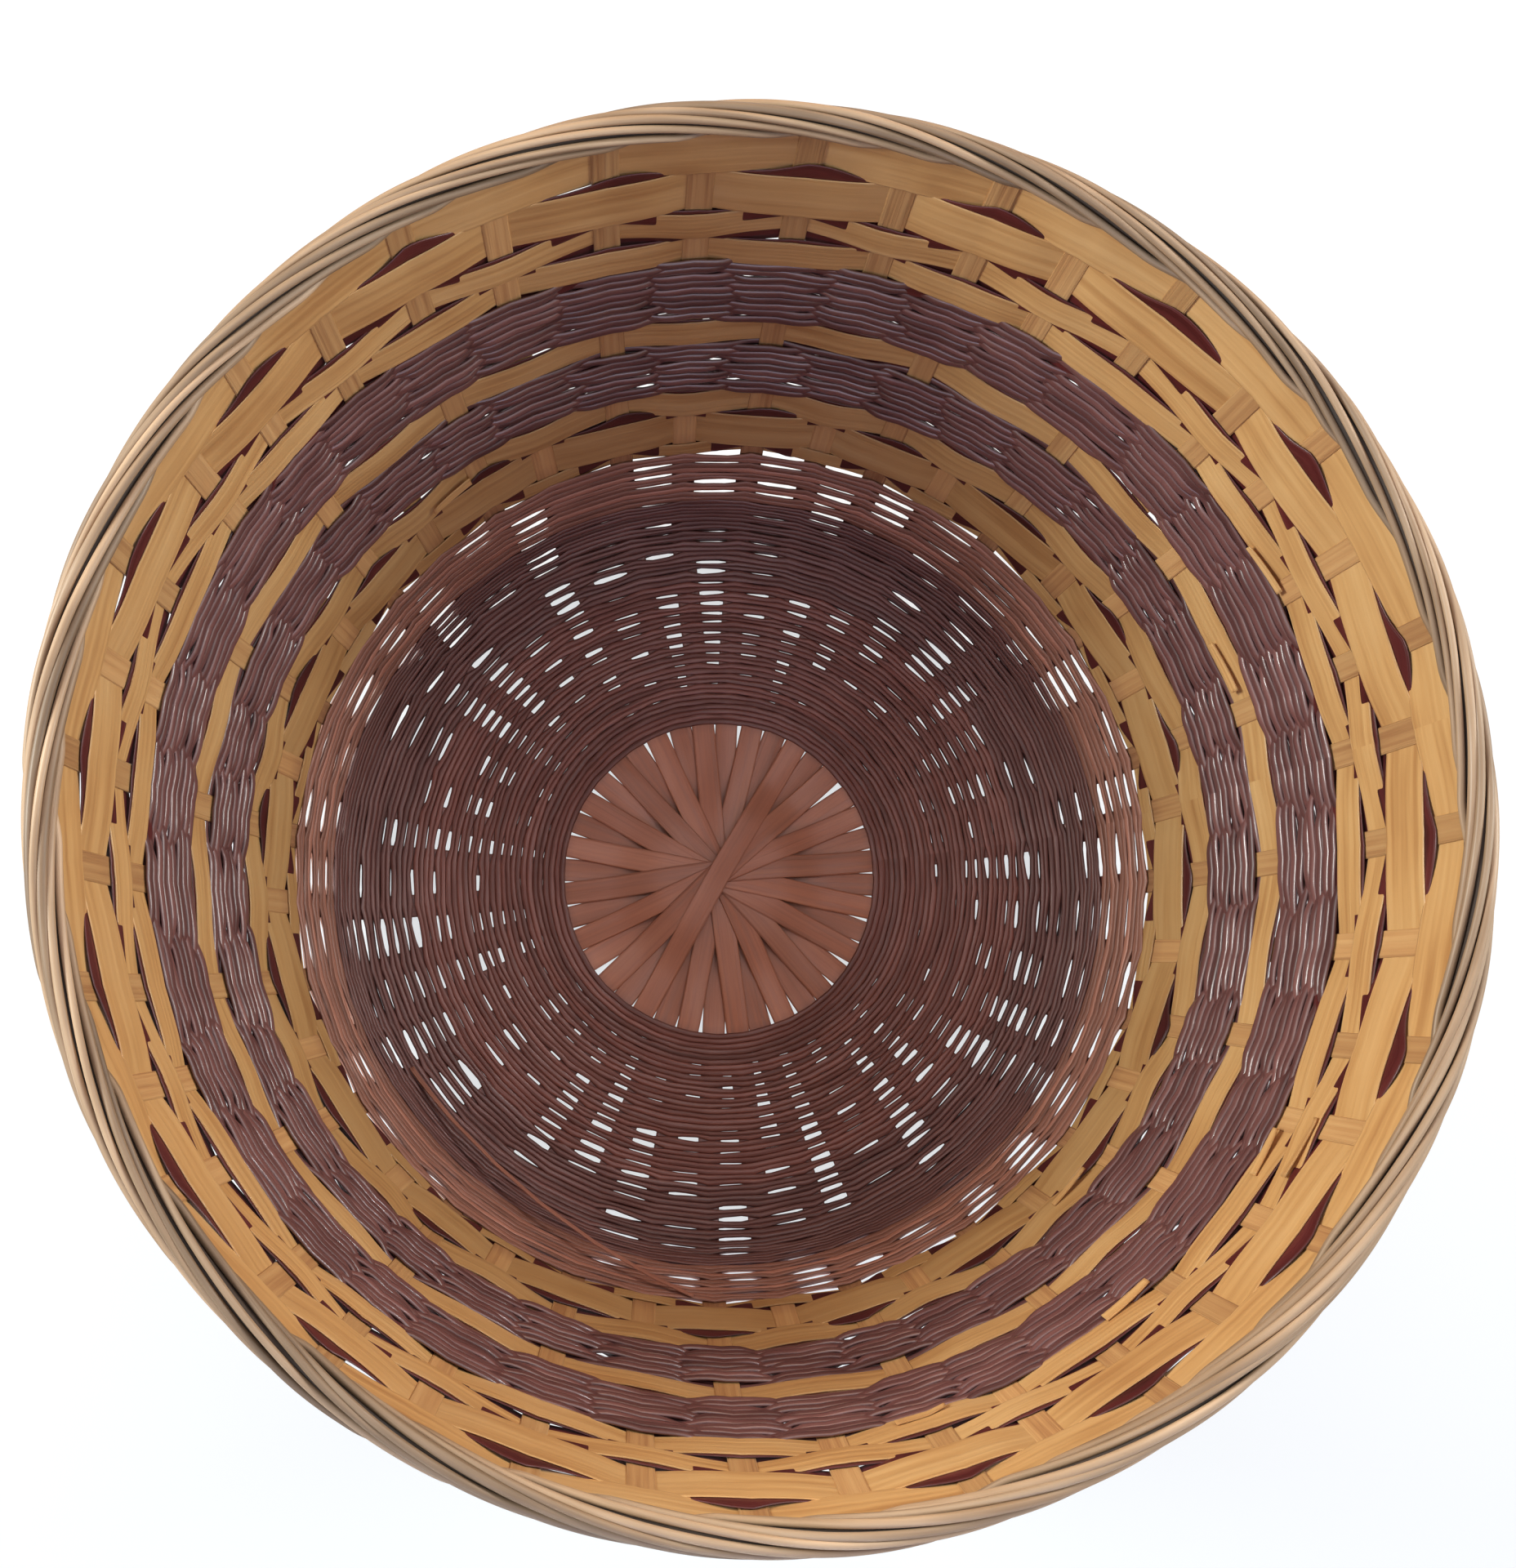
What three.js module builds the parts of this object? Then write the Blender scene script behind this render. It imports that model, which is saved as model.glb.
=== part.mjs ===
// Round wicker planter with a flared side and an open mouth.
// Twenty flat splints cross under the base and turn up the side as forty stakes. Reeds and flat strips
// are woven round the stakes row on row, and a rolled border of canes closes over the stake tips.
// The resting plane is z = 0 and the basket's axis is +Z.
import * as THREE from 'three';

// Splints, in millimetres
const splintCount = 20;
const splintWidth = 6;
const splintThickness = 0.7;

// Where the splints cross they are scraped thin, and each lies on its own level
const crossingThickness = 0.3;
const crossingGap = 0.06;
const crossingFloor = 0.3;
const layerGap = 0.1;
const reachMargin = 1;
const layerRun = 10;

// Shape of the basket, in millimetres and degrees
const wallFootRadius = 101;
const cornerRadius = 13;
const footFlare = 23;
const rimFlare = 6.6;

// Reeds and strips
const reedThickness = 2;
const footRowThickness = 1.4;
const stripThickness = 0.7;
const maroonThickness = 0.6;

// Heights of the woven rows along the wall, from the foot up
const footBandRise = 5.2;
const footRowCount = 5;
const footRowHeight = 3.2;
const underStripHeight = 3.2;
const lowerWideHeight = 12.5;
const lowerNarrowHeight = 6.5;
const lowerDarkHeight = 19.6;
const middleStripHeight = 8.2;
const upperDarkHeight = 23.7;
const upperNarrowHeight = 8.9;
const upperWideHeight = 14.5;
const rimStripHeight = 6.5;
const maroonShift = 1.9;

// Rolled border
const borderHalfWidth = 4.2;
const borderHalfHeight = 5.8;
const borderOverhang = 1.3;
const tipRise = 1.5;

// Flat ring of the foot band that the basket stands on
const footRingWidth = 6;
const baseLift = 0.4;

// Clearances between neighbours
const rowGap = 0.8;
const ringGap = 0.3;
const weaveClearance = 0.3;
const slotClearance = 0.3;
const sideClearance = 0.15;
const slotWeb = 0.34;
const pairGap = 0.3;

// Counts of straight steps in the curves
const wallSteps = 5;
const cornerSteps = 3;
const borderSides = 11;

// Stakes stand at equal angles, and each facet of a ring is centred on one stake
const stakeCount = 2 * splintCount;
const stakeStep = 2 * Math.PI / stakeCount;
const halfStep = stakeStep / 2;

// The rows are stacked up the wall, so their heights set its length
const footRows = [];
let stackTop = footBandRise;

function stackRow(height) {
  const bottom = stackTop + rowGap;
  stackTop = bottom + height;
  return { bottom, top: stackTop };
}

function stackMaroon(wide) {
  stackTop = wide.top + maroonShift;
  return { bottom: wide.bottom + maroonShift, top: stackTop };
}

for (let i = 0; i < footRowCount; i += 1) {
  footRows.push(stackRow(footRowHeight));
}
const underRow = stackRow(underStripHeight);
const lowerWideRow = stackRow(lowerWideHeight);
const lowerMaroonRow = stackMaroon(lowerWideRow);
const lowerNarrowRow = stackRow(lowerNarrowHeight);
const lowerDarkRow = stackRow(lowerDarkHeight);
const middleRow = stackRow(middleStripHeight);
const upperDarkRow = stackRow(upperDarkHeight);
const upperNarrowRow1 = stackRow(upperNarrowHeight);
const upperNarrowRow2 = stackRow(upperNarrowHeight);
const upperWideRow = stackRow(upperWideHeight);
const upperMaroonRow = stackMaroon(upperWideRow);
const rimRow = stackRow(rimStripHeight);
const borderRow = stackRow(2 * borderHalfHeight);
const borderMiddle = (borderRow.bottom + borderRow.top) / 2;
const wallLength = borderMiddle + tipRise;

// Profile of the stakes: flat base, round corner, then a wall that flares less and less
const bandThickness = splintThickness + 2 * (slotClearance + reedThickness);
const bandHalf = bandThickness / 2;
const baseHeight = bandHalf;
const footAngle = THREE.MathUtils.degToRad(footFlare);
const rimAngle = THREE.MathUtils.degToRad(rimFlare);
const cornerTurn = Math.PI / 2 - footAngle;
const flatRadius = wallFootRadius - cornerRadius * Math.sin(cornerTurn);
const wallFootHeight = baseHeight + cornerRadius * (1 - Math.cos(cornerTurn));

// Splint neighbours overlap out to these distances from the axis
const layerReach = splintWidth / 2 / Math.sin(stakeStep) + reachMargin;
const crossReach = splintWidth / 2 / Math.sin(halfStep) + reachMargin;
const weaveStart = (splintWidth + 2 * sideClearance + slotWeb) / (2 * Math.tan(halfStep));

function wallAngle(s) {
  return footAngle + (rimAngle - footAngle) * s / wallLength;
}

// Point of the wall's arc at a length s above its foot, as radius and height
function arcPoint(s) {
  const bend = wallLength / (rimAngle - footAngle);
  const angle = wallAngle(s);
  return new THREE.Vector2(
    wallFootRadius + bend * (Math.cos(footAngle) - Math.cos(angle)),
    wallFootHeight + bend * (Math.sin(angle) - Math.sin(footAngle)),
  );
}

// Point of the stepped wall that the stakes follow
function wallPoint(s) {
  const stride = wallLength / wallSteps;
  const step = Math.min(Math.floor(s / stride), wallSteps - 1);
  const low = arcPoint(step * stride);
  const high = arcPoint((step + 1) * stride);
  return low.lerp(high, s / stride - step);
}

// Direction out of the basket, square to a path that climbs at an angle to the floor
function outward(climb) {
  return new THREE.Vector2(Math.sin(climb), -Math.cos(climb));
}

// A station's point moved out of the basket by an offset, or in where it is negative
function offsetPoint({ point, normal }, offset) {
  return point.clone().addScaledVector(normal, offset);
}

// Corner stations from the flat base to the wall foot, ends included
function cornerStations() {
  const stations = [];
  for (let i = 0; i <= cornerSteps; i += 1) {
    const climb = cornerTurn * i / cornerSteps;
    const point = new THREE.Vector2(
      flatRadius + cornerRadius * Math.sin(climb),
      baseHeight + cornerRadius * (1 - Math.cos(climb)),
    );
    stations.push({ point, normal: outward(climb) });
  }
  return stations;
}

function wallStation(s) {
  return { point: wallPoint(s), normal: outward(Math.PI / 2 - wallAngle(s)) };
}

function baseStation(radius, height) {
  return { point: new THREE.Vector2(radius, height), normal: outward(0) };
}

// Half of a splint's middle line, from near the axis to its tip at the rim
function splintStations(level, layerSide) {
  const crossingHeight = crossingFloor + crossingThickness / 2 + level * (crossingThickness + crossingGap);
  const layerHeight = baseHeight + layerSide * (splintThickness + layerGap) / 2;
  const rampEnd = Math.min(layerReach + layerRun, crossReach - reachMargin);
  const stations = [
    baseStation(rampEnd, layerHeight),
    baseStation(crossReach, layerHeight),
    baseStation(weaveStart, baseHeight),
    ...cornerStations(),
  ];
  for (let i = 1; i <= wallSteps; i += 1) {
    stations.push(wallStation(wallLength * i / wallSteps));
  }
  return {
    crossing: baseStation(layerReach, crossingHeight),
    stations,
  };
}

// Splints alternate between two layers. In each layer they climb like a spiral stair.
const firstOfStair = 4;
const layerSize = splintCount / 2;

function splintLevel(index) {
  const upper = index % 2 === 0;
  const place = Math.floor(index / 2);
  const stair = (place + layerSize - firstOfStair % layerSize) % layerSize;
  return { level: upper ? layerSize + stair : stair, layerSide: upper ? 1 : -1 };
}

// Flat ribbon along both halves of the middle line, thin between the two crossing stations
function splintGeometry(index) {
  const { level, layerSide } = splintLevel(index);
  const { crossing, stations } = splintStations(level, layerSide);
  const side = (sign) => [
    offsetPoint(crossing, sign * crossingThickness / 2),
    ...stations.map((station) => offsetPoint(station, sign * splintThickness / 2)),
  ];
  const mirror = (points) => points.map((point) => new THREE.Vector2(-point.x, point.y));
  const under = side(1);
  const over = side(-1);
  const outline = [
    ...mirror(under).reverse(), ...under,
    ...[...over].reverse(), ...mirror(over),
  ];
  const shape = new THREE.Shape(outline);
  const geometry = new THREE.ExtrudeGeometry(shape, { depth: splintWidth, bevelEnabled: false });
  geometry.translate(0, 0, -splintWidth / 2);
  geometry.rotateX(Math.PI / 2);
  return geometry;
}

// Closed mesh from rows of corner points and four-sided faces given by their corners
function facedGeometry(positions, quads) {
  const indices = quads.flatMap(([a, b, c, d]) => [a, b, c, a, c, d]);
  const geometry = new THREE.BufferGeometry();
  geometry.setAttribute('position', new THREE.Float32BufferAttribute(positions, 3));
  geometry.setIndex(indices);
  return geometry;
}

// Band of woven reeds as one sleeve, with a flat facet round each stake and a slot that the stake fills.
// Corners of each bay at a station: outer edge, inner edge, then the slot's four corners.
function slottedSleeve(stations, halfThickness) {
  const slotHalf = splintThickness / 2 + slotClearance;
  const slotEdge = splintWidth / 2 + sideClearance;
  const corner = Math.tan(halfStep);
  const positions = [];
  for (let i = 0; i < stakeCount; i += 1) {
    const angle = i * stakeStep;
    for (const station of stations) {
      const outer = offsetPoint(station, halfThickness);
      const inner = offsetPoint(station, -halfThickness);
      const slotOuter = offsetPoint(station, slotHalf);
      const slotInner = offsetPoint(station, -slotHalf);
      const bay = [
        [outer, -outer.x * corner], [inner, -inner.x * corner],
        [slotOuter, -slotEdge], [slotOuter, slotEdge], [slotInner, slotEdge], [slotInner, -slotEdge],
      ];
      for (const [point, across] of bay) {
        positions.push(
          point.x * Math.cos(angle) - across * Math.sin(angle),
          point.x * Math.sin(angle) + across * Math.cos(angle),
          point.y,
        );
      }
    }
  }
  const cornersPerBay = 6;
  const at = (bay, station, k) => ((bay % stakeCount) * stations.length + station) * cornersPerBay + k;
  const quads = [];
  const last = stations.length - 1;
  for (let i = 0; i < stakeCount; i += 1) {
    for (let j = 0; j < last; j += 1) {
      quads.push([at(i, j, 0), at(i + 1, j, 0), at(i + 1, j + 1, 0), at(i, j + 1, 0)]);
      quads.push([at(i, j, 1), at(i, j + 1, 1), at(i + 1, j + 1, 1), at(i + 1, j, 1)]);
      for (let k = 2; k < cornersPerBay; k += 1) {
        const other = k + 1 < cornersPerBay ? k + 1 : 2;
        quads.push([at(i, j, k), at(i, j + 1, k), at(i, j + 1, other), at(i, j, other)]);
      }
    }
    for (const j of [0, last]) {
      const rim = [at(i, j, 0), at(i + 1, j, 0), at(i + 1, j, 1), at(i, j, 1)];
      const slot = [at(i, j, 2), at(i, j, 3), at(i, j, 4), at(i, j, 5)];
      rim.forEach((here, k) => {
        const other = (k + 1) % rim.length;
        const face = [here, slot[k], slot[other], rim[other]];
        quads.push(j === 0 ? face : face.reverse());
      });
    }
  }
  return facedGeometry(positions, quads);
}

// Ring turned from a closed profile of radius and height, with one flat facet for each stake
function turnedRing(profile) {
  const corner = 1 / Math.cos(halfStep);
  const points = [...profile, profile[0]].map((point) => new THREE.Vector2(point.x * corner, point.y));
  const geometry = new THREE.LatheGeometry(points, stakeCount, halfStep);
  geometry.rotateX(Math.PI / 2);
  return geometry;
}

// Offsets out of and into the basket, at the stakes, of a strip that goes straight from stake to stake and
// still clears each stake's edges by the distances it needs
function weaveOffsets(radius, needOut, needIn) {
  const edgeShare = (splintWidth / 2 + sideClearance) / (radius * Math.sin(stakeStep));
  const sag = radius * (1 - Math.cos(stakeStep));
  const sum = (needOut + needIn) / (1 - 2 * edgeShare);
  const difference = needOut - needIn + 2 * edgeShare * sag;
  return { out: (sum + difference) / 2, in: (sum - difference) / 2 };
}

// Strip woven round the stakes: a closed zigzag ring, inside the even stakes or inside the odd ones
function wovenStrip(row, insideEven, thickness, needOut, needIn) {
  const bottom = wallStation(row.bottom);
  const top = wallStation(row.top);
  const offsets = weaveOffsets(bottom.point.x, needOut, needIn);
  const positions = [];
  const quads = [];
  for (let i = 0; i < stakeCount; i += 1) {
    const inside = (i % 2 === 0) === insideEven;
    const offset = inside ? -offsets.in : offsets.out;
    const section = [
      offsetPoint(bottom, offset - thickness / 2),
      offsetPoint(bottom, offset + thickness / 2),
      offsetPoint(top, offset + thickness / 2),
      offsetPoint(top, offset - thickness / 2),
    ];
    const angle = i * stakeStep;
    for (const point of section) {
      positions.push(point.x * Math.cos(angle), point.x * Math.sin(angle), point.y);
    }
    const here = section.length * i;
    const next = section.length * ((i + 1) % stakeCount);
    for (let k = 0; k < section.length; k += 1) {
      const other = (k + 1) % section.length;
      quads.push([here + k, next + k, next + other, here + other]);
    }
  }
  return facedGeometry(positions, quads);
}

// Stations of a band that covers one row of the wall
function bandStations(row) {
  const stations = [wallStation(row.bottom)];
  for (let i = 1; i < wallSteps; i += 1) {
    const s = wallLength * i / wallSteps;
    if (s > row.bottom && s < row.top) {
      stations.push(wallStation(s));
    }
  }
  stations.push(wallStation(row.top));
  return stations;
}

// Rolled border: an oval ring that hangs a little outside the stakes, with a groove over their tips.
// The oval starts at the groove's outer edge and goes round by the outside and the top.
function borderProfile() {
  const centre = wallPoint(borderMiddle);
  centre.x += borderOverhang;
  const grooveHalf = splintThickness / 2 + slotClearance;
  const mouth = wallStation(borderRow.bottom);
  const ceiling = wallStation(wallLength + slotClearance);
  const turnAt = (radius) => Math.asin((radius - centre.x) / borderHalfWidth);
  const start = turnAt(offsetPoint(mouth, grooveHalf).x);
  const end = 2 * Math.PI + turnAt(offsetPoint(mouth, -grooveHalf).x);
  const points = [];
  for (let i = 0; i <= borderSides; i += 1) {
    const turn = start + (end - start) * i / borderSides;
    points.push(new THREE.Vector2(
      centre.x + borderHalfWidth * Math.sin(turn),
      centre.y - borderHalfHeight * Math.cos(turn),
    ));
  }
  points.push(offsetPoint(ceiling, -grooveHalf));
  points.push(offsetPoint(ceiling, grooveHalf));
  return points;
}

function finish(color, roughness) {
  return new THREE.MeshStandardMaterial({ color, roughness, metalness: 0 });
}

const splintFinish = finish(0x8a5432, 0.5);
const baseReedFinish = finish(0x6d3f2a, 0.5);
const darkReedFinish = finish(0x4b2b2a, 0.4);
const honeyFinish = finish(0xc8893c, 0.4);
const maroonFinish = finish(0x561a1c, 0.45);
const borderFinish = finish(0xa07c56, 0.6);

const planter = new THREE.Group();

function addPiece(name, geometry, material) {
  const piece = new THREE.Mesh(geometry, material);
  piece.name = name;
  planter.add(piece);
  return piece;
}

for (let i = 0; i < splintCount; i += 1) {
  const name = `base_splint_${String(i + 1).padStart(2, '0')}`;
  const splint = addPiece(name, splintGeometry(i), splintFinish);
  splint.rotation.z = i * stakeStep;
}

// Reeds of the base, from the star of splints out to the foot band
const footRingInner = flatRadius - footRingWidth;
const baseStations = [
  baseStation(weaveStart, baseHeight),
  baseStation(footRingInner - ringGap, baseHeight),
];
addPiece('base_weave', slottedSleeve(baseStations, bandHalf - baseLift), baseReedFinish);

// Foot band: a flat ring on the floor, the corner, and a short rise up the wall
const footStations = [
  baseStation(footRingInner, baseHeight),
  ...cornerStations(),
  wallStation(footBandRise),
];
addPiece('foot_band', slottedSleeve(footStations, bandHalf), darkReedFinish);

addPiece('lower_dark_band', slottedSleeve(bandStations(lowerDarkRow), bandHalf), darkReedFinish);
addPiece('upper_dark_band', slottedSleeve(bandStations(upperDarkRow), bandHalf), darkReedFinish);
addPiece('rolled_border', turnedRing(borderProfile()), borderFinish);

// A strip's middle stays clear of a stake's middle by these distances
const stakeFace = splintThickness / 2 + weaveClearance;
const stripNeed = stakeFace + stripThickness / 2;
const footRowNeed = stakeFace + footRowThickness / 2;

footRows.forEach((row, i) => {
  const geometry = wovenStrip(row, i % 2 === 1, footRowThickness, footRowNeed, footRowNeed);
  addPiece(`foot_row_${i + 1}`, geometry, baseReedFinish);
});

function addStrip(name, row, insideEven) {
  addPiece(name, wovenStrip(row, insideEven, stripThickness, stripNeed, stripNeed), honeyFinish);
}

addStrip('under_strip', underRow, true);
addStrip('lower_narrow_strip', lowerNarrowRow, true);
addStrip('middle_strip', middleRow, true);
addStrip('upper_narrow_strip_1', upperNarrowRow1, false);
addStrip('upper_narrow_strip_2', upperNarrowRow2, true);
addStrip('rim_strip', rimRow, true);

// A wide honey strip and a maroon strip share one path: honey inside, maroon outside
function addPair(wideName, wideRow, maroonName, maroonRow) {
  const wideIn = stakeFace + maroonThickness + pairGap + stripThickness / 2;
  const maroonOut = stakeFace + stripThickness + pairGap + maroonThickness / 2;
  const maroonIn = stakeFace + maroonThickness / 2;
  addPiece(wideName, wovenStrip(wideRow, false, stripThickness, stripNeed, wideIn), honeyFinish);
  addPiece(maroonName, wovenStrip(maroonRow, false, maroonThickness, maroonOut, maroonIn), maroonFinish);
}

addPair('lower_wide_strip', lowerWideRow, 'lower_maroon_strip', lowerMaroonRow);
addPair('upper_wide_strip', upperWideRow, 'upper_maroon_strip', upperMaroonRow);

export default planter;
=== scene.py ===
"""Looks of a woven planter basket: each splint, reed, strip and cane is a surface of its own.

Shapes are worked out in three coordinates of the basket's side: path, the length along the stakes' middle
line from the axis, angle, round the axis, and out, the distance out of the side. Lengths are millimetres.
"""
import math

import bpy
import numpy as np
from mathutils import Matrix, Vector


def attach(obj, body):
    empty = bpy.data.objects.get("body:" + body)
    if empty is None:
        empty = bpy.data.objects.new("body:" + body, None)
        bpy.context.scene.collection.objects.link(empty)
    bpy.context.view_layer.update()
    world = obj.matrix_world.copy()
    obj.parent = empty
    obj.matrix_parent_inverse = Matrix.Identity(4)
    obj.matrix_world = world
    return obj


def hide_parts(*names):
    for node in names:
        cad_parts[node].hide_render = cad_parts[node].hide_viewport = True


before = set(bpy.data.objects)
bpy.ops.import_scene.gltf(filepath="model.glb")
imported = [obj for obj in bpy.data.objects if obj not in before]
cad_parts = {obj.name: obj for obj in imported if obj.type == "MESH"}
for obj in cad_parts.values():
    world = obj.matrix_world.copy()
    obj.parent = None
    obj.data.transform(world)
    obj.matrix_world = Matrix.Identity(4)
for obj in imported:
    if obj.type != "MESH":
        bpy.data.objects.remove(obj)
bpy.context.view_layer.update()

MM = 0.001
SEED = 20

# Splints and the stakes that they turn into
SPLINTS = 20
STAKES = 2 * SPLINTS
STAKE_STEP = 2 * math.pi / STAKES
SPLINT_WIDTH = 6.0
SPLINT_THICKNESS = 0.7
STAKE_THICKNESS = 0.5

# Profile of the side
WEAVE_START = 42.2
WALL_FOOT_RADIUS = 101.0
CORNER_RADIUS = 13.0
FOOT_FLARE = math.radians(23.0)
RIM_FLARE = math.radians(6.6)
BASE_HEIGHT = 2.65
WALL_LENGTH = 157.6
CORNER_TURN = math.pi / 2 - FOOT_FLARE
FLAT_RADIUS = WALL_FOOT_RADIUS - CORNER_RADIUS * math.sin(CORNER_TURN)
WALL_START = FLAT_RADIUS + CORNER_RADIUS * CORNER_TURN
STAKE_END = WALL_START + WALL_LENGTH

# Steps of the surfaces round the axis
STEPS_PER_STAKE = 12
RING_STEPS = STAKES * STEPS_PER_STAKE
ANGLES = np.arange(RING_STEPS) * 2 * math.pi / RING_STEPS

# Waves from stake to stake: 1 at the even stakes and -1 at the odd ones, with straight flanks and rounded
# tips, and one that is 0 at every stake and 1 midway
TIP_ROUNDING = 0.97
ZIGZAG = np.arcsin(TIP_ROUNDING * np.cos(SPLINTS * ANGLES)) / math.asin(TIP_ROUNDING)
MIDWAY = 0.5 - 0.5 * np.cos(STAKES * ANGLES)


def ease(value, start, end):
    """Rises smoothly from 0 at start to 1 at end."""
    t = np.clip((value - start) / (end - start), 0, 1)
    return t * t * (3 - 2 * t)


def side_line(path):
    """Radius, height and climb of the stakes' middle line at a length along it.

    The line runs flat out from the axis, turns up by a round corner, and then follows an arc whose
    flare from the upright falls evenly from the foot to the rim.
    """
    path = np.asarray(path, float)
    turn = np.clip((path - FLAT_RADIUS) / CORNER_RADIUS, 0, CORNER_TURN)
    rise = np.maximum(path - WALL_START, 0)
    flare = FOOT_FLARE + (RIM_FLARE - FOOT_FLARE) * rise / WALL_LENGTH
    bend = WALL_LENGTH / (RIM_FLARE - FOOT_FLARE)
    radius = np.minimum(path, FLAT_RADIUS) + CORNER_RADIUS * np.sin(turn)
    radius = radius + bend * (math.cos(FOOT_FLARE) - np.cos(flare))
    height = BASE_HEIGHT + CORNER_RADIUS * (1 - np.cos(turn))
    height = height + bend * (np.sin(flare) - math.sin(FOOT_FLARE))
    climb = np.where(rise > 0, math.pi / 2 - flare, turn)
    return radius, height, climb


# Unevenness of the whole basket: the stakes' spacing, and a slightly oval rim
DRIFT_ORDERS = np.array([3, 5, 7, 11, 13, 17])
DRIFT_SIZE = 0.006
DRIFT_PHASES = np.random.default_rng(SEED).uniform(0, 2 * math.pi, len(DRIFT_ORDERS))
OVAL_SIZE = 0.005
OVAL_PHASE = 0.6


def drifted(path, angle):
    """Angle with the stakes' uneven spacing: a sum of sine waves round the axis that grow past the star."""
    waves = np.sin(np.asarray(angle)[..., None] * DRIFT_ORDERS + DRIFT_PHASES).sum(-1)
    return angle + DRIFT_SIZE * ease(path, WEAVE_START, WALL_START) * waves


def oval(path, angle):
    """Factor on the radius that makes the basket slightly oval towards the rim."""
    return 1 + OVAL_SIZE * ease(path, WALL_START, STAKE_END) * np.cos(2 * angle + OVAL_PHASE)


def straightened(path, angle):
    """Factor on the radius that makes the wall straight from stake to stake, as a chord of its circle."""
    off_middle = (angle / STAKE_STEP % 1 - 0.5) * STAKE_STEP
    chord = math.cos(STAKE_STEP / 2) / np.cos(off_middle)
    return 1 + (chord - 1) * ease(path, WEAVE_START, WALL_START)


def place(path, angle, out):
    """Points in metres at a path, angle and out."""
    radius, height, climb = side_line(path)
    turned = drifted(path, angle)
    radius = (radius + out * np.sin(climb)) * oval(path, angle) * straightened(path, angle)
    height = height - out * np.cos(climb)
    return np.stack([radius * np.cos(turned), radius * np.sin(turned), height], -1) * MM


# Orders of the waves in a line that wavers slowly, or from stake to stake
SLOW = (2, 3, 5, 7)
STAKEWISE = (9, 14, 19, 23, 31, 40)


def wander(rng, count, size, orders):
    """One wavering line round the axis per row: seeded sine waves, scaled to the given root mean square."""
    orders = np.asarray(orders)[None, :, None]
    phase = rng.uniform(0, 2 * math.pi, (count, orders.size, 1))
    weight = rng.normal(0, 1, (count, orders.size, 1))
    line = (weight * np.sin(orders * ANGLES + phase)).sum(1)
    return size * line / np.sqrt((line ** 2).mean(1, keepdims=True))


def kinked(rng, size):
    """A line round the axis that runs straight from a random place at each stake to the next."""
    at_stakes = rng.normal(0, size, STAKES)
    line = np.interp(ANGLES / STAKE_STEP, np.arange(STAKES + 1), np.append(at_stakes, at_stakes[0]))
    return line[None]


def alternate(count):
    """Column of 1 and -1 by turns, for rows that change sides."""
    return ((-1.0) ** np.arange(count))[:, None]


def round_profile(sides):
    """Unit circle as across and through, starting at its upper edge."""
    turn = np.arange(sides) * 2 * math.pi / sides
    return np.cos(turn), -np.sin(turn)


def flat_profile(step):
    """Unit rectangle as across and through, thinned towards each edge over three steps of its half width."""
    across = np.array([-1, step - 1, 3 * step - 1, -0.5, 0, 0.5, 1 - 3 * step, 1 - step, 1])
    through = np.array([0.4, 0.9, 1, 1, 1, 1, 1, 0.9, 0.4])
    return np.concatenate([across, across[::-1]]), np.concatenate([through, -through[::-1]])


# Sections of the strands, as across and through
SPLINT_SECTION = flat_profile(0.05)
STRIP_SECTION = flat_profile(0.03)
REED_SECTION = round_profile(8)
CANE_SECTION = round_profile(9)


# Meshes


def link_piece(name, mesh, finish, nodes):
    """Adds a mesh with its finish as a piece that rides on the basket and replaces nodes of the solids."""
    mesh.materials.append(finish)
    piece = bpy.data.objects.new(name, mesh)
    bpy.context.scene.collection.objects.link(piece)
    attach(piece, "root")
    if nodes:
        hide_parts(*nodes)


def strand_sides(index, along, ring):
    """Corners and strand map of the four-sided faces between each two stations of each row."""
    sides = index.shape[2]
    here = index if ring else index[:, :-1]
    ahead = np.roll(index, -1, 1) if ring else index[:, 1:]
    corners = np.stack([here, ahead, np.roll(ahead, -1, 2), np.roll(here, -1, 2)], -1)
    length = np.broadcast_to(along[:, :, None], (*along.shape, sides))
    low = length[:, :-1]
    high = length[:, 1:]
    turn = np.broadcast_to(np.arange(sides) / sides, here.shape)
    u = np.stack([low, high, high, low], -1)
    v = np.stack([turn, turn, turn + 1 / sides, turn + 1 / sides], -1)
    return corners.ravel(), np.stack([u, v], -1).reshape(-1, 2)


def strand_caps(index, along):
    """Corners and strand map of the two faces that close the ends of each row."""
    corners = np.stack([index[:, 0], index[:, -1, ::-1]], 1)
    u = np.stack([along[:, 0], along[:, -1]], 1)[:, :, None]
    v = np.zeros(index.shape[2])
    return corners.ravel(), np.stack(np.broadcast_arrays(u, v), -1).reshape(-1, 2)


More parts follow.
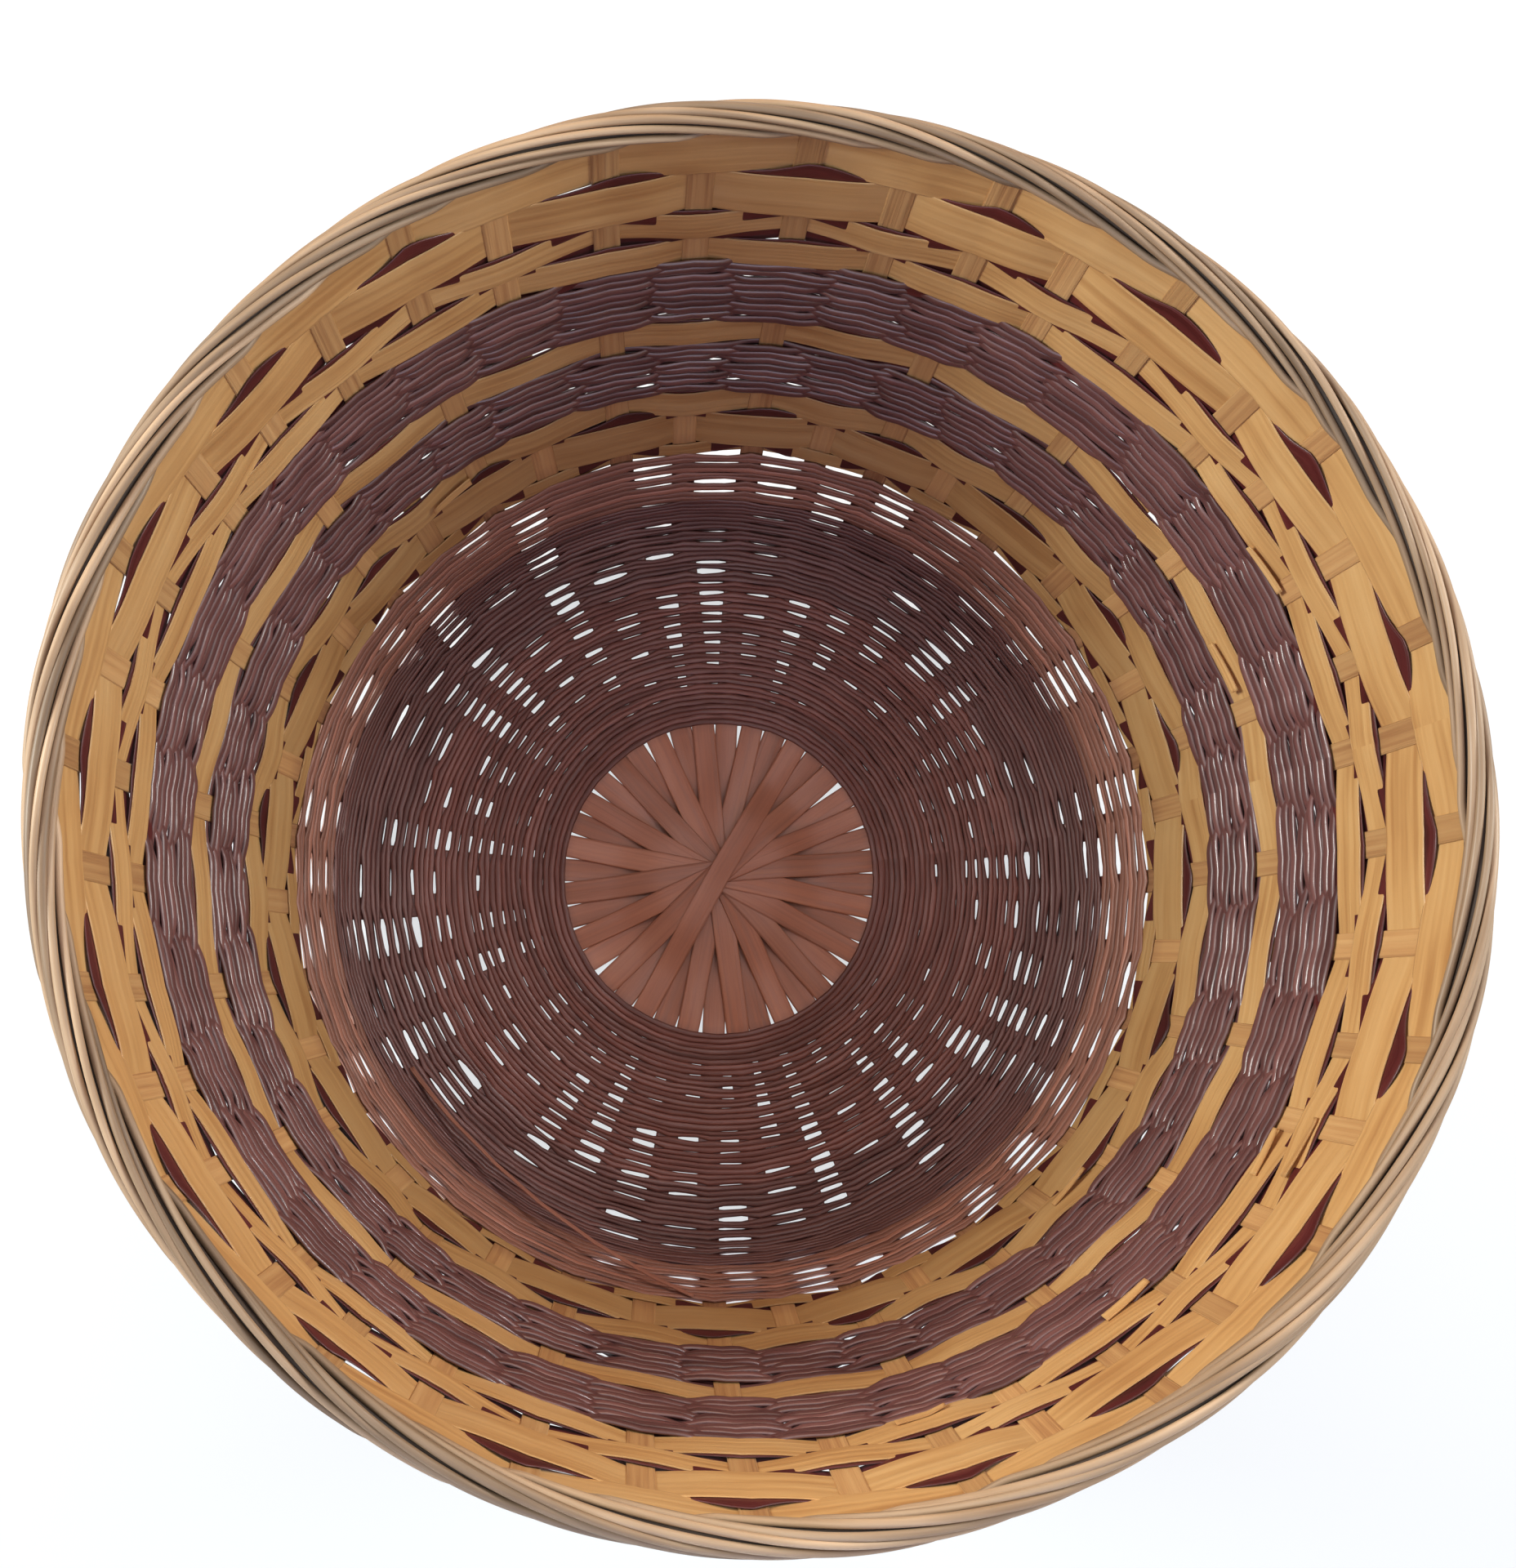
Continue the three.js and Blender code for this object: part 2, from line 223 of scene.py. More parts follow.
def strand_mesh(name, points, along, tone, ring):
    """Mesh of strands on a grid of points: rows, stations along each row, then corners of its section.

    A ring joins its last station to its first, and any other strand is closed by a cap at each end. The
    UV map named strand holds the length along the row and the share round the section, and tone is one
    value per row.
    """
    rows, stations, sides, _ = points.shape
    index = np.arange(rows * stations * sides).reshape(rows, stations, sides)
    corners, strand_map = strand_sides(index, along, ring)
    counts = np.full(len(corners) // 4, 4)
    if not ring:
        cap_corners, cap_map = strand_caps(index, along)
        corners = np.concatenate([corners, cap_corners])
        strand_map = np.concatenate([strand_map, cap_map])
        counts = np.concatenate([counts, np.full(2 * rows, sides)])
    mesh = bpy.data.meshes.new(name)
    mesh.vertices.add(index.size)
    mesh.vertices.foreach_set("co", points.astype(np.float32).ravel())
    mesh.loops.add(len(corners))
    mesh.loops.foreach_set("vertex_index", corners.astype(np.int32))
    mesh.polygons.add(len(counts))
    mesh.polygons.foreach_set("loop_start", (np.cumsum(counts) - counts).astype(np.int32))
    mesh.update(calc_edges=True)
    mesh.uv_layers.new(name="strand").uv.foreach_set("vector", strand_map.astype(np.float32).ravel())
    tones = np.repeat(tone, stations * sides).astype(np.float32)
    mesh.attributes.new("tone", "FLOAT", "POINT").data.foreach_set("value", tones)
    mesh.shade_smooth()
    return mesh


def ring_mesh(name, path, out, half_width, half_thick, section, tone):
    """Rows that go right round the basket: each row's section lies at its own path and out."""
    across, through = section
    path_at = path[..., None] + half_width[..., None] * across
    out_at = out[..., None] + half_thick * through
    points = place(path_at, np.broadcast_to(ANGLES[None, :, None], path_at.shape), out_at)
    radius = side_line(path.mean(1))[0][:, None]
    along = radius * np.append(ANGLES, 2 * math.pi)
    return strand_mesh(name, points, along, tone, True)


def swept(line, lifted, across, through):
    """Points of a section carried along lines, with across and through in millimetres.

    The section's frame is each line's direction, the direction to a lifted copy of the line, and the
    square to both.
    """
    forward = np.gradient(line, axis=1)
    forward /= np.linalg.norm(forward, axis=-1, keepdims=True)
    sideways = np.cross(forward, lifted - line)
    sideways /= np.linalg.norm(sideways, axis=-1, keepdims=True)
    outward = np.cross(sideways, forward)
    section = across[..., None] * sideways[:, :, None, :] + through[..., None] * outward[:, :, None, :]
    return line[:, :, None, :] + section * MM


def line_length(line):
    """Length along each line from its start, in millimetres."""
    steps = np.linalg.norm(np.diff(line, axis=1), axis=-1) / MM
    return np.concatenate([np.zeros((len(line), 1)), steps.cumsum(1)], 1)


# Finishes


def socket_group(name, inputs, outputs):
    """Empty shader node group with its sockets, and its two end nodes."""
    group = bpy.data.node_groups.new(name, "ShaderNodeTree")
    for label, kind in inputs:
        group.interface.new_socket(label, in_out="INPUT", socket_type=kind)
    for label, kind in outputs:
        group.interface.new_socket(label, in_out="OUTPUT", socket_type=kind)
    return group, group.nodes.new("NodeGroupInput"), group.nodes.new("NodeGroupOutput")


def math_node(tree, operation, first, second):
    """Math node whose two inputs are sockets or numbers, as its result socket."""
    node = tree.nodes.new("ShaderNodeMath")
    node.operation = operation
    for pin, value in zip(node.inputs, (first, second)):
        if isinstance(value, (int, float)):
            pin.default_value = value
        else:
            tree.links.new(value, pin)
    return node.outputs[0]


def span(tree, value, start, end, low, high):
    """Value carried from the range start to end into the range low to high, as a socket."""
    node = tree.nodes.new("ShaderNodeMapRange")
    tree.links.new(value, node.inputs["Value"])
    for label, number in (("From Min", start), ("From Max", end), ("To Min", low), ("To Max", high)):
        node.inputs[label].default_value = number
    return node.outputs[0]


RAMP_STOPS = (0.12, 0.5, 0.9)


def colour_ramp(tree, value, colours):
    """Dark, middle and pale colours by a value from 0 to 1, as a colour socket."""
    node = tree.nodes.new("ShaderNodeValToRGB")
    elements = node.color_ramp.elements
    elements.new(RAMP_STOPS[1])
    for element, stop, colour in zip(elements, RAMP_STOPS, colours):
        element.position = stop
        element.color = (*colour, 1)
    tree.links.new(value, node.inputs[0])
    return node.outputs[0]


def mixed(tree, blend, share, first, second):
    """Mix of two colour sockets by a share, as a colour socket."""
    node = tree.nodes.new("ShaderNodeMix")
    node.data_type = "RGBA"
    node.blend_type = blend
    if isinstance(share, float):
        node.inputs[0].default_value = share
    else:
        tree.links.new(share, node.inputs[0])
    tree.links.new(first, node.inputs[6])
    tree.links.new(second, node.inputs[7])
    return node.outputs[2]


# Patterns of the fibres: fineness along and round the strand, and detail
FIBRE_PATTERNS = {"Streak": (1.0, 1.0, 4.0), "Blotch": (1.6, 0.12, 2.0)}
TONE_SHIFT = 61.0
NOISE_LOW = 0.3
NOISE_HIGH = 0.7

# Blotch at which the varnish starts, and at which it is full
VARNISH_FROM = 0.2
VARNISH_FULL = 0.8


def fibre_group():
    """Fibres of split cane along a strand.

    Noise drawn out along the strand gives fine Streak lines, and slow noise gives Blotch. Both read the
    strand map and take a new pattern for each tone.
    """
    inputs = [("Strand", "NodeSocketVector")]
    inputs += [(label, "NodeSocketFloat") for label in ("Tone", "Along", "Round")]
    outputs = [(label, "NodeSocketFloat") for label in FIBRE_PATTERNS]
    group, ends_in, ends_out = socket_group("fibre", inputs, outputs)
    parts = group.nodes.new("ShaderNodeSeparateXYZ")
    group.links.new(ends_in.outputs["Strand"], parts.inputs[0])
    shift = math_node(group, "MULTIPLY", ends_in.outputs["Tone"], TONE_SHIFT)
    length = math_node(group, "MULTIPLY", parts.outputs[0], ends_in.outputs["Along"])
    around = math_node(group, "MULTIPLY", parts.outputs[1], ends_in.outputs["Round"])
    for output, (along, turn, detail) in FIBRE_PATTERNS.items():
        at = group.nodes.new("ShaderNodeCombineXYZ")
        group.links.new(math_node(group, "MULTIPLY", length, along), at.inputs[0])
        group.links.new(math_node(group, "MULTIPLY", around, turn), at.inputs[1])
        group.links.new(shift, at.inputs[2])
        noise = group.nodes.new("ShaderNodeTexNoise")
        noise.inputs["Scale"].default_value = 1.0
        noise.inputs["Detail"].default_value = detail
        group.links.new(at.outputs[0], noise.inputs["Vector"])
        level = span(group, noise.outputs["Fac"], NOISE_LOW, NOISE_HIGH, 0.0, 1.0)
        group.links.new(level, ends_out.inputs[output])
    return group


FIBRE = fibre_group()


def fibre_node(tree, strand, tone, fibre):
    """The fibre group in a finish, with the finish's own fineness along and round the strand."""
    node = tree.nodes.new("ShaderNodeGroup")
    node.node_tree = FIBRE
    tree.links.new(strand, node.inputs["Strand"])
    tree.links.new(tone, node.inputs["Tone"])
    node.inputs["Along"].default_value = fibre[0]
    node.inputs["Round"].default_value = fibre[1]
    return node


def zoned(tree, strand, blend, colour, zones):
    """Colour of a splint with zones out from its middle, each by its start, end and colours."""
    parts = tree.nodes.new("ShaderNodeSeparateXYZ")
    tree.links.new(strand, parts.inputs[0])
    off_middle = math_node(tree, "SUBTRACT", parts.outputs[0], STAKE_END)
    reach = math_node(tree, "ABSOLUTE", off_middle, 0.0)
    for start, end, colours in zones:
        taken = span(tree, reach, start, end, 0.0, 1.0)
        colour = mixed(tree, "MIX", taken, colour, colour_ramp(tree, blend, colours))
    return colour


def toned(tree, tone, colour, spread):
    """Colour made lighter or darker for each strand, by up to the spread."""
    light = span(tree, tone, 0.0, 1.0, 1 - spread, 1 + spread)
    grey = tree.nodes.new("ShaderNodeCombineColor")
    for pin in grey.inputs:
        tree.links.new(light, pin)
    return mixed(tree, "MULTIPLY", 1.0, colour, grey.outputs[0])


def strand_finish(name, colours, fibre, gloss, depth, spread=0.2, zones=()):
    """Varnished cane.

    The mean of streaks and blotches picks between dark, middle and pale colours, each strand is lighter or
    darker, the varnish comes and goes with the blotches, and the streaks rise by the depth.
    """
    material = bpy.data.materials.new(name)
    material.use_nodes = True
    tree = material.node_tree
    shader = tree.nodes["Principled BSDF"]
    strand = tree.nodes.new("ShaderNodeUVMap")
    strand.uv_map = "strand"
    tone = tree.nodes.new("ShaderNodeAttribute")
    tone.attribute_name = "tone"
    grain = fibre_node(tree, strand.outputs[0], tone.outputs["Fac"], fibre)
    streak = grain.outputs["Streak"]
    blotch = grain.outputs["Blotch"]
    blend = math_node(tree, "MULTIPLY", math_node(tree, "ADD", streak, blotch), 0.5)
    colour = colour_ramp(tree, blend, colours)
    if zones:
        colour = zoned(tree, strand.outputs[0], blend, colour, zones)
    tree.links.new(toned(tree, tone.outputs["Fac"], colour, spread), shader.inputs["Base Color"])
    low, high, varnish, varnish_roughness = gloss
    tree.links.new(span(tree, streak, 0.0, 1.0, low, high), shader.inputs["Roughness"])
    coat = span(tree, blotch, VARNISH_FROM, VARNISH_FULL, 0.0, varnish)
    tree.links.new(coat, shader.inputs["Coat Weight"])
    shader.inputs["Coat Roughness"].default_value = varnish_roughness
    bump = tree.nodes.new("ShaderNodeBump")
    bump.inputs["Distance"].default_value = depth * MM
    tree.links.new(streak, bump.inputs["Height"])
    tree.links.new(bump.outputs[0], shader.inputs["Normal"])
    return material


# Colours: dark, middle and pale
HONEY_COLOURS = ((0.44, 0.22, 0.078), (0.57, 0.32, 0.122), (0.65, 0.395, 0.165))
MAROON_COLOURS = ((0.04, 0.005, 0.005), (0.072, 0.008, 0.008), (0.11, 0.016, 0.014))
DARK_COLOURS = ((0.08, 0.030, 0.028), (0.13, 0.050, 0.046), (0.19, 0.080, 0.072))
BASE_COLOURS = ((0.11, 0.033, 0.025), (0.185, 0.058, 0.044), (0.25, 0.085, 0.064))
FOOT_COLOURS = ((0.20, 0.080, 0.053), (0.33, 0.140, 0.095), (0.42, 0.185, 0.13))
# The star's splints are darker and redder than the stakes: partly painted shade and reddish bounce light of
# the deep base
STAR_COLOURS = ((0.36, 0.135, 0.077), (0.475, 0.178, 0.102), (0.55, 0.225, 0.13))
STAKE_COLOURS = ((0.40, 0.19, 0.075), (0.54, 0.29, 0.115), (0.62, 0.36, 0.15))
CANE_COLOURS = ((0.22, 0.135, 0.075), (0.34, 0.22, 0.13), (0.45, 0.305, 0.19))
CORNER_COLOURS = ((0.09, 0.031, 0.026), (0.145, 0.052, 0.043), (0.19, 0.072, 0.06))
# The border core is nearly black: painted shade for the gaps between the border canes
CORE_SHADE_COLOURS = ((0.03, 0.019, 0.013), (0.05, 0.031, 0.021), (0.07, 0.044, 0.03))

# Fineness of the fibres along and round a strand
STRIP_FIBRES = (0.02, 26.0)
REED_FIBRES = (0.03, 16.0)
DARK_FIBRES = (0.02, 4.0)
SPLINT_FIBRES = (0.015, 22.0)
CANE_FIBRES = (0.02, 3.0)
CORE_FIBRES = (0.02, 6.0)

# Gloss: least and most roughness, most varnish, and the varnish's own roughness
SHINY = (0.34, 0.5, 1.0, 0.14)
VARNISHED = (0.34, 0.5, 0.5, 0.2)
MAROON_GLOSS = (0.4, 0.55, 0.4, 0.2)
SATIN = (0.45, 0.6, 0.3, 0.25)
WORN = (0.5, 0.65, 0.25, 0.3)
DULL = (0.7, 0.8, 0.0, 0.3)

# Zones of a splint out from the star, darker and redder in the star and the base than as honey stakes up the
# wall, partly painted shade and reddish bounce light of the deep base: start, end and colours
BASE_SHADE_FROM = WEAVE_START - 2
BASE_SHADE_FULL = WEAVE_START + 5
STAKE_FROM = WALL_START + 18
STAKE_FULL = WALL_START + 34
SPLINT_ZONES = ((BASE_SHADE_FROM, BASE_SHADE_FULL, BASE_COLOURS), (STAKE_FROM, STAKE_FULL, STAKE_COLOURS))

HONEY = strand_finish("honey_strip", HONEY_COLOURS, STRIP_FIBRES, VARNISHED, depth=0.1)
MAROON = strand_finish("maroon_strip", MAROON_COLOURS, STRIP_FIBRES, MAROON_GLOSS, depth=0.1)
DARK_REED = strand_finish("dark_reed", DARK_COLOURS, DARK_FIBRES, SHINY, depth=0.03)
BASE_REED = strand_finish("base_reed", BASE_COLOURS, REED_FIBRES, SATIN, depth=0.05)
FOOT_REED = strand_finish("foot_reed", FOOT_COLOURS, REED_FIBRES, SATIN, depth=0.05, spread=0.4)
CORNER_REED = strand_finish("corner_reed", CORNER_COLOURS, REED_FIBRES, SATIN, depth=0.05)
SPLINT = strand_finish(
    "splint", STAR_COLOURS, SPLINT_FIBRES, SATIN, depth=0.12, spread=0.12, zones=SPLINT_ZONES
)
BORDER_CANE = strand_finish("border_cane", CANE_COLOURS, CANE_FIBRES, WORN, depth=0.06, spread=0.36)
BORDER_CORE_SHADE = strand_finish("border_core", CORE_SHADE_COLOURS, CORE_FIBRES, DULL, depth=0.1)


# Splints that cross in the star and climb the side as stakes
SPLINT_STATIONS = 260
CROSSING_THICKNESS = 0.3
CROSSING_PITCH = 0.36
CROSSING_FLOOR = 0.3
CROSSING_REACH = 14.126
CROSSING_END = 31.0
LAYER_GAP = 0.1
LAYER_REACH = 38.2
LAYER_END = WEAVE_START + 2
FIRST_OF_STAIR = 4
OFF_CENTRE = 0.8
OFF_ANGLE = math.radians(0.4)
LEAST_SPLINT = 0.95
MOST_SPLINT = 1.03


def splint_level(index):
    """Level of a splint in the star, and its side of the middle: even splints lie over the odd ones."""
    layer = SPLINTS // 2
    stair = (index // 2 - FIRST_OF_STAIR) % layer
    return (layer + stair, 1) if index % 2 == 0 else (stair, -1)


def splint_out(index, path):
    """Distance of a splint out of the side: it eases from its level in the star to its layer, then to 0."""
    level, layer_side = splint_level(index)
    crossing = 1 - ease(path, CROSSING_REACH, CROSSING_END)
    layered = 1 - ease(path, LAYER_REACH, LAYER_END)
    height = CROSSING_FLOOR + CROSSING_THICKNESS / 2 + level * CROSSING_PITCH
    layer = layer_side * (SPLINT_THICKNESS + LAYER_GAP) / 2 * layered
    return crossing * (BASE_HEIGHT - height) - (1 - crossing) * layer


def splint_thickness(path):
    """Thickness of a splint, which is thinner where it crosses the others and where it climbs as a stake."""
    crossing = 1 - ease(path, CROSSING_REACH, CROSSING_END)
    climbing = ease(path, FLAT_RADIUS, WALL_START)
    thinned = (CROSSING_THICKNESS - SPLINT_THICKNESS) * crossing
    return SPLINT_THICKNESS + thinned + (STAKE_THICKNESS - SPLINT_THICKNESS) * climbing


def add_splints():
    """Flat ribbons straight through the axis: each rises to its level in the star and ends at the rim.

    A ribbon's section is an eased rectangle. Its place along the middle line is signed, so that one half
    lies at the splint's angle and the other half opposite.
    """
    rng = np.random.default_rng(SEED + 1)
    across, through = SPLINT_SECTION
    signed = np.linspace(-STAKE_END, STAKE_END, SPLINT_STATIONS)
    path = np.abs(signed)
    climb = side_line(path)[2]
    loose = 1 - ease(path, WEAVE_START, FLAT_RADIUS)
    depth = splint_thickness(path)[:, None] / 2 * through * MM
    for index in range(SPLINTS):
        angle = index * STAKE_STEP + np.where(signed < 0, math.pi, 0) + rng.normal(0, OFF_ANGLE) * loose
        turned = drifted(path, angle)
        flat = np.zeros_like(turned)
        outward = np.stack(
            [np.sin(climb) * np.cos(turned), np.sin(climb) * np.sin(turned), -np.cos(climb)], -1
        )
        sideways = np.sign(signed)[:, None] * np.stack([-np.sin(turned), np.cos(turned), flat], -1)
        shift = rng.normal(0, OFF_CENTRE) * (1 - ease(path, 0, WEAVE_START))
        width = SPLINT_WIDTH / 2 * rng.uniform(LEAST_SPLINT, MOST_SPLINT)
        lateral = (shift[:, None] - width * across) * MM
        points = place(path, angle, splint_out(index, path))[:, None, :]
        points = points + lateral[..., None] * sideways[:, None, :] + depth[..., None] * outward[:, None, :]
        name = f"splint_{index + 1:02d}"
        mesh = strand_mesh(name, points[None], (signed + STAKE_END)[None], rng.uniform(0, 1, 1), False)
        link_piece(name, mesh, SPLINT, [f"base_splint_{index + 1:02d}"])


# Reeds woven round the base, the corner and the foot: rows, their places, and the slits between them
BASE_ROWS = 14
BASE_END = 82.6
BASE_SLIT = 1.3
BASE_SLIT_FROM = WEAVE_START - 4
BASE_SLIT_FULL = BASE_END - 8
BASE_SHARE = 0.5
CORNER_ROWS = 9
CORNER_SLIT = 1.7
CORNER_SHARE = 0.3
FOOT_ROWS = 5
FOOT_START = 5.4
FOOT_PITCH = 4.05
FOOT_SLIT = 2.4
FOOT_SHARE = 0.5

# Unevenness of the slits: on its slack side the base gapes more, and the foot less
SLACK_SIDE = math.radians(75)
BASE_EXTRA = 0.2
FOOT_EXTRA = -0.1
COLUMN_SPREAD = 0.22
SLIT_SPREAD = 0.4
SLIT_LEAN = 0.7
SLIT_BLUNT = 3.0

# Reeds of a row, by half their thickness, and their unevenness
BASE_REED_HALF = 0.36
FOOT_REED_HALF = 0.45
EDGE_PRESS = 0.07
EDGE_SWAY = 0.14
EDGE_WAVER = 0.06
SPLIT_WAVER = 0.03
SAG = 0.6
SAG_WAVER = 0.25
ROW_TILT = 1.8
DARKEST_TONE = 0.1
PALEST_TONE = 0.9


def openings(rng, rows, share, extra):
    """How far the weave gapes between rows, as a factor on the slits' full height.

    There is a slit between each two stakes, blunt at both ends. Its size is drawn round the share and cut
    off at 0 and 1, and its lean makes one end higher and the other lower. The slits of one gap between
    stakes are alike, and the share has an extra on the basket's slack side.
    """
    towards_slack = np.cos(np.arange(STAKES) * STAKE_STEP - SLACK_SIDE)
    column = share + extra * towards_slack + rng.normal(0, COLUMN_SPREAD, STAKES)
    size = np.clip(rng.normal(column, SLIT_SPREAD, (rows, STAKES)), 0, 1)[..., None]
    lean = rng.uniform(-SLIT_LEAN, SLIT_LEAN, (rows, STAKES))[..., None]
    across = np.arange(STEPS_PER_STAKE) / STEPS_PER_STAKE
    blunt = np.minimum(SLIT_BLUNT * np.minimum(across, 1 - across), 1)
    return (size * blunt * (1 + lean * (2 * across - 1))).reshape(rows, RING_STEPS)


def paired_mesh(name, rng, edges, gape, stake, half_thick):
    """Rows of reeds that hold the stakes, of the given thickness, between them.

    Each row has two reeds side by side inside the stakes and two outside. They fill the row between its two
    edges, apart from where the weave gapes, and sag towards each other between the stakes. The outer reeds
    sit lower by a tilt that grows with the climb of the side.
    """
    low = edges[:-1] + gape[:-1] / 2
    high = edges[1:] - gape[1:] / 2
    split = (low + high) / 2 + wander(rng, len(low), SPLIT_WAVER, STAKEWISE)
    bottom = np.stack([low, low, split, split], 1).reshape(-1, RING_STEPS)
    top = np.stack([split, split, high, high], 1).reshape(-1, RING_STEPS)
    path = (bottom + top) / 2
    half = (top - bottom) / 2 + EDGE_PRESS
    side = alternate(len(path))
    sag = np.clip(SAG + wander(rng, len(path), SAG_WAVER, STAKEWISE), 0, 1) * stake / 2
    out = side * (stake / 2 + half_thick - sag * MIDWAY)
    path = path - ROW_TILT * (1 + side) / 2 * np.sin(side_line(path)[2])
    tone = rng.uniform(DARKEST_TONE, PALEST_TONE, len(path))
    return ring_mesh(name, path, out, half, half_thick, REED_SECTION, tone)


def row_edges(rng, start, end, rows):
    """Uneven edges of rows that fill the side from one path to another."""
    edges = np.linspace(start, end, rows + 1)[:, None]
    return edges + wander(rng, rows + 1, EDGE_SWAY, SLOW) + wander(rng, rows + 1, EDGE_WAVER, STAKEWISE)


def add_paired_rows(rng, pieces, edges, gape, stake, half_thick, finish):
    """Paired rows shared out evenly over pieces, each given by its name and the nodes that it replaces."""
    cuts = np.linspace(0, len(edges) - 1, len(pieces) + 1).round().astype(int)
    for (name, nodes), first, last in zip(pieces, cuts[:-1], cuts[1:]):
        rows = slice(first, last + 1)
        mesh = paired_mesh(name, rng, edges[rows], gape[rows], stake, half_thick)
        link_piece(name, mesh, finish, nodes)


def add_base_reeds():
    """Rows of the base from the star to the corner. The slits between them widen outwards."""
    rng = np.random.default_rng(SEED + 2)
    edges = row_edges(rng, WEAVE_START, BASE_END, BASE_ROWS)
    widening = BASE_SLIT * ease(edges, BASE_SLIT_FROM, BASE_SLIT_FULL)
    gape = widening * openings(rng, BASE_ROWS + 1, BASE_SHARE, BASE_EXTRA)
    pieces = [("base_reeds_1", ["base_weave"]), ("base_reeds_2", []), ("base_reeds_3", [])]
    add_paired_rows(rng, pieces, edges, gape, SPLINT_THICKNESS, BASE_REED_HALF, BASE_REED)


def add_corner_reeds():
    """Dark rows round the turn from the base to the wall."""
    rng = np.random.default_rng(SEED + 7)
    edges = row_edges(rng, BASE_END, WALL_START + FOOT_START, CORNER_ROWS)
    gape = CORNER_SLIT * openings(rng, CORNER_ROWS + 1, CORNER_SHARE, 0)
    pieces = [("corner_reeds_1", ["foot_band"]), ("corner_reeds_2", [])]
    add_paired_rows(rng, pieces, edges, gape, SPLINT_THICKNESS, FOOT_REED_HALF, CORNER_REED)


def add_foot_rows():
    """Rows over the foot, with wide slits between them."""
    rng = np.random.default_rng(SEED + 4)
    start = WALL_START + FOOT_START
    edges = row_edges(rng, start, start + FOOT_PITCH * FOOT_ROWS, FOOT_ROWS)
    gape = FOOT_SLIT * openings(rng, FOOT_ROWS + 1, FOOT_SHARE, FOOT_EXTRA)
    pieces = [(f"foot_reeds_{row}", [f"foot_row_{row}"]) for row in range(1, FOOT_ROWS + 1)]
    add_paired_rows(rng, pieces, edges, gape, STAKE_THICKNESS, FOOT_REED_HALF, FOOT_REED)


# Dark reeds packed in the two bands of the side, by half their thickness and their width in pitches
BAND_REED_HALF = 0.6
BAND_REED_PITCHES = 2.1
BAND_GAP = 0.05
BAND_NECK = 0.12
BAND_SWAY = 0.08
BAND_WAVER = 0.05
BAND_SLIP = 0.3
BAND_LIFT = 0.06
EDGE_HOLD = 1.5
MOST_EDGE = 0.45

# Bands: name, node, lower and upper edge up the wall, and rows
DARK_BANDS = (
    ("lower_dark_reeds", "lower_dark_band", 52.5, 72.1, 16),
    ("upper_dark_reeds", "upper_dark_band", 81.9, 105.6, 18),
)


def weave(path, side, reach, slip):
    """Distance out of the side of reeds woven round the stakes: a softened square wave from stake to stake.

    A row with side 1 lies outside the even stakes, and one with side -1 lies inside them. The wave is made
    steep enough to clear the edges of the stakes where they stand close together. Slip moves the crossings.
    """
    radius = side_line(path)[0]
    edge = np.minimum(SPLINT_WIDTH / 2 / (radius * STAKE_STEP), MOST_EDGE)
    steep = EDGE_HOLD / np.cos(math.pi * edge)
    return side * reach * np.tanh(steep * np.cos(SPLINTS * ANGLES + slip)) / np.tanh(steep)


def add_band(name, node, bottom, top, rows, rng):
    """Dark reeds packed from one edge up the wall to another.

    Each is about two pitches wide, because its neighbours lie on the other side of a stake. It narrows where
    it crosses between two stakes.
    """
    edge = (top - bottom) / rows / 2
    path = WALL_START + np.linspace(bottom + edge, top - edge, rows)[:, None]
    path = path + wander(rng, rows, BAND_WAVER, STAKEWISE) + wander(rng, rows, BAND_SWAY, SLOW)
    reach = STAKE_THICKNESS / 2 + BAND_REED_HALF + BAND_GAP
    out = weave(path, alternate(rows), reach, wander(rng, rows, BAND_SLIP, STAKEWISE))
    out = out + wander(rng, rows, BAND_LIFT, STAKEWISE)
    half = BAND_REED_PITCHES * edge * (1 - BAND_NECK * MIDWAY)
    mesh = ring_mesh(name, path, out, half, BAND_REED_HALF, REED_SECTION, rng.uniform(0, 1, rows))
    link_piece(name, mesh, DARK_REED, [node])


def add_dark_bands():
    """The lower and the upper band."""
    rng = np.random.default_rng(SEED + 3)
    for name, node, bottom, top, rows in DARK_BANDS:
        add_band(name, node, bottom, top, rows, rng)


# Flat strips woven round the wall
STRIP_THICKNESS = 0.4
PAIR_REACH = 0.8
SINGLE_REACH = 0.56
STRIP_BOW = 0.25
STRIP_KINK = 0.4
STRIP_SWAY = 0.25
EDGE_KINK = 0.25

# Maroon strips behind the honey strips, seen as lenses above them: dyed strips behind the wide ones, and
# behind the narrow ones dark strips that paint the shade in the gaps
LENS_SKEW = 0.5
LENS_SPREAD = 0.2
LENS_TAPER = 1.4
BACKING_DROP = 4.2
DROP_WIDENING = 1.8

# Single strips: name, node, rows up the wall, side of the even stakes, and dip
SINGLE_STRIPS = (
    ("under_honey", "under_strip", (25.0, 30.0), -1, 0.6),
    ("rim_honey", "rim_strip", (139.8, 155.0), -1, 0.2),
)

